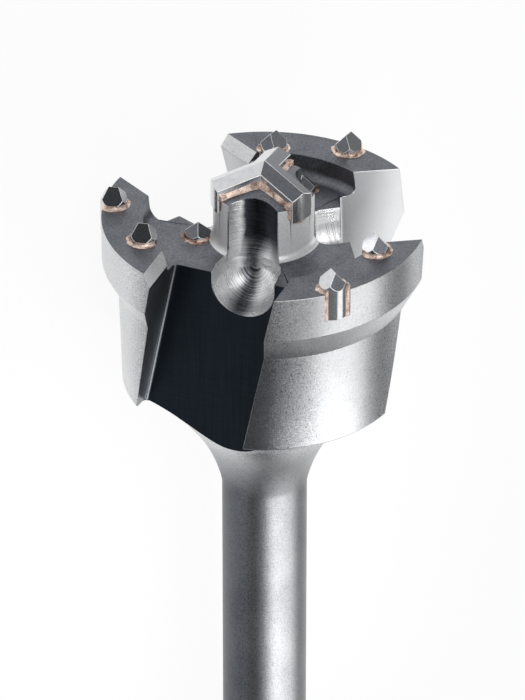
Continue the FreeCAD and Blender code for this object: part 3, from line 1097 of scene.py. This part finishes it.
def bead(radius, width, height, seed):
    """A spun bead whose foot spreads unevenly over the steel."""
    profile = bead_profile(radius, width, height)
    shape = spun(profile + profile[:1], BEAD_STEPS)
    for corner in shape.verts:
        away = Vector((corner.co.x, corner.co.y, 0))
        spread = max(0.0, (away.length - radius) / width)
        spot = away / 2.2 + Vector((seed, 0, 0))
        wide = noise.noise(spot) * 0.55 + noise.noise(spot * 3.1) * 0.30
        corner.co += away.normalized() * wide * spread * width
    return shape


def place_bead(name, shape, place, metal):
    bmesh.ops.translate(shape, verts=shape.verts, vec=place)
    return object_of(name, shape, [metal])


def finish_bead(piece, *nodes):
    laid(piece, 60.0)
    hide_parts(*nodes)


def wing_ring(low, high):
    """The room between a wing's inner wall and the rim, to trim the copper to."""
    inner, outer = WING_INSIDE + SETBACK, RIM - SETBACK
    profile = [(inner, low), (outer, low), (outer, high), (inner, high), (inner, low)]
    return spun(profile, RING_STEPS)


for number, (azimuth, distance) in enumerate(RIM_PINS + INNER_PINS, 1):
    shape = bead(PIN, *WING_BEAD, number * 3.7)
    piece = place_bead(f"copper_wing_bead_{number}", shape, at(distance, azimuth), copper)
    outer = number <= len(RIM_PINS)
    near, far = (distance, RIM + 1.0) if outer else (WING_INSIDE - 1.0, distance)
    foot = -PIN_DEPTH if outer else WEB
    fill = turned_copies(block((near, -PIN, foot), (far, PIN, 0.1)), [azimuth])
    combine(piece, object_of("fill", fill, [copper]), "UNION")
    combine(piece, object_of("ring", wing_ring(-PIN_DEPTH - 1.0, 6.0), [copper]), "INTERSECT")
    finish_bead(piece, f"wing_pin_braze_{number}")
for number, (azimuth, distance) in enumerate(WEB_PINS, 1):
    shape = bead(WEB_PIN, *WEB_BEAD, 40 + number)
    piece = place_bead(f"copper_web_bead_{number}", shape, at(distance, azimuth, WEB), burnt_copper)
    finish_bead(piece, f"web_pin_braze_{number}")

# %% [markdown]
# ## Copper on the post
# Between two arms of the tip the copper lies on the post's slope like a fillet. The bead is drawn
# out along each arm with a hollow side, as the tip's arms are, and cut to the post's round and the
# flutes. A thin cap of copper shows on the post's wall round the end of each arm.

# %% Beads on the post
END_BEAD_HALF = 4.1
END_BEAD_FOOT = 3.1
END_BEAD_SIDE = 5.8
END_BEAD_TOP = 9.0
END_BEAD_SKIN = 0.1
BEAD_SIDE = ((4.25, -0.75), (3.95, -0.35), (3.7, 0.0), (3.5, 0.35), (3.3, 0.75), (3.1, 1.25))


def post_bead_shape():
    right = [(side, POST_APEX + height) for side, height in BEAD_SIDE]
    left_side = [(-side, height) for side, height in reversed(right)]
    foot = [(-BEAD_SIDE[0][0], TIP_SEAT), (BEAD_SIDE[0][0], TIP_SEAT)]
    return three_arms(sloping_arm(foot + right + left_side, TIP_RADIUS + 1.0), TIP_ARMS)


def arm_end_bead():
    """The copper that shows on the post's wall, round the end of an arm."""
    half = END_BEAD_HALF
    side = arc((-half, END_BEAD_SIDE), (0.0, END_BEAD_FOOT), (half, END_BEAD_SIDE), 24)
    outline = [(-half, END_BEAD_TOP)] + side + [(half, END_BEAD_TOP)]
    return extruded([(POST - 2.0, across, height) for across, height in outline], (REACH, 0, 0))


post_bead = object_of("copper_post_bead", post_bead_shape(), [copper])
round_post = outside_ring(POST - END_BEAD_SKIN, 0.0, 20.0)
combine(post_bead, object_of("round", round_post, [copper]))
for azimuth in TIP_ARMS:
    end_bead = object_of("end_bead", turned_copies(arm_end_bead(), [azimuth]), [copper])
    round_skin = outside_ring(POST + END_BEAD_SKIN, 0.0, 20.0)
    combine(end_bead, object_of("round", round_skin, [copper]))
    combine(post_bead, end_bead, "UNION")
for flute in FLUTES:
    tool = object_of("flute", turned_copies(flute_cutter(), [flute]), [copper])
    combine(post_bead, tool)
finish_bead(post_bead, "tip_braze_1", "tip_braze_2", "tip_braze_3")
count(post_bead)

# %% [markdown]
# ## Floor, world and lamps
# The photograph has a plain white ground, a strong light from the right that draws the bright bands
# down the body and the bar, and a softer one from above. Metal shows what stands round it, so the
# lamps are a few panels with dark between them, and the world's own light stays low. Two small
# panels stand close to the bar and shine in a narrow beam, so that they draw its band and leave the
# head alone. The floor glows for the camera and in reflections only, so its white doesn't light the
# metal.

# %% Floor
FLOOR_GLOW = 0.93


def white_floor():
    made = Finish("floor_white", metallic=0.0)
    made.finish(Base_Color=(0.92, 0.92, 0.92, 1), Roughness=0.9)
    seen = made.node("ShaderNodeLightPath", {}, {}, "Is Camera Ray")
    seen = seen.most(made.node("ShaderNodeLightPath", {}, {}, "Is Glossy Ray"))
    seen = seen.most(made.node("ShaderNodeLightPath", {}, {}, "Is Transmission Ray"))
    paint = Value(made.tree, made.surface.outputs[0])
    glow = made.node("ShaderNodeEmission", {}, {"Color": (1, 1, 1, 1)})
    mixed = made.node("ShaderNodeMixShader", {}, {0: seen * FLOOR_GLOW, 1: paint, 2: glow})
    put(made.tree, made.tree.nodes["Material Output"].inputs["Surface"], mixed)
    return made.material


floor_shape = bmesh.new()
bmesh.ops.create_grid(floor_shape, x_segments=1, y_segments=1, size=8.0)
floor = object_of("floor", floor_shape, [white_floor()])
count(floor)

# %% World
world = bpy.data.worlds.new("studio")
bpy.context.scene.world = world
world.use_nodes = True
sky = world.node_tree.nodes["Background"]
sky.inputs["Color"].default_value = (0.97, 0.985, 1, 1)
sky.inputs["Strength"].default_value = 0.20
print("world light", sky.inputs["Strength"].default_value)

# %% Lamps
HEAD_MIDDLE = Vector((0, 0, -25.0))
BAR_MIDDLE = Vector((0, 0, -118.0))


def lamp(name, target, towards, distance, width, height, brightness, spread=180.0):
    """A soft panel that shines at a place on the tool; a brightness of 1 is the white of the floor."""
    data = bpy.data.lights.new(name, "AREA")
    data.shape = "RECTANGLE"
    data.size = width
    data.size_y = height
    data.spread = math.radians(spread)
    data.energy = brightness * math.pi * width * height
    panel = bpy.data.objects.new(name, data)
    bpy.context.collection.objects.link(panel)
    back = (turn @ Vector(towards)).normalized()
    side = (turn @ Vector((0, 0, 1))).cross(back).normalized()
    panel_turn = Matrix((side, back.cross(side), back)).transposed()
    panel.matrix_world = Matrix.Translation(lay @ target + back * distance) @ panel_turn.to_4x4()
    panel.visible_camera = False
    print(name, "stands at", panel.matrix_world.translation, "watts", round(data.energy, 2))


lamp("right_panel", HEAD_MIDDLE, (0.76, -0.40, -0.54), 1.1, 0.84, 0.9, 1.19)
lamp("top_panel", HEAD_MIDDLE, (0.25, -0.95, -0.19), 1.2, 0.45, 0.45, 1.5)
lamp("edge_panel", HEAD_MIDDLE, (0.87, 0.49, -0.06), 1.1, 0.45, 0.35, 2.4)
lamp("bar_front_panel", BAR_MIDDLE, (0.42, -0.73, -0.54), 0.14, 0.12, 0.11, 0.78, spread=48.0)
lamp("bar_side_panel", BAR_MIDDLE, (0.79, -0.29, -0.54), 0.14, 0.12, 0.11, 0.36, spread=48.0)
lamp("key_panel", HEAD_MIDDLE, (0.35, -0.78, 0.50), 0.9, 0.7, 0.7, 2.6)

# %% [markdown]
# ## The plain view settings and the end
# Standard keeps every colour as it is written.

# %% View settings
bpy.context.scene.view_settings.view_transform = "Standard"
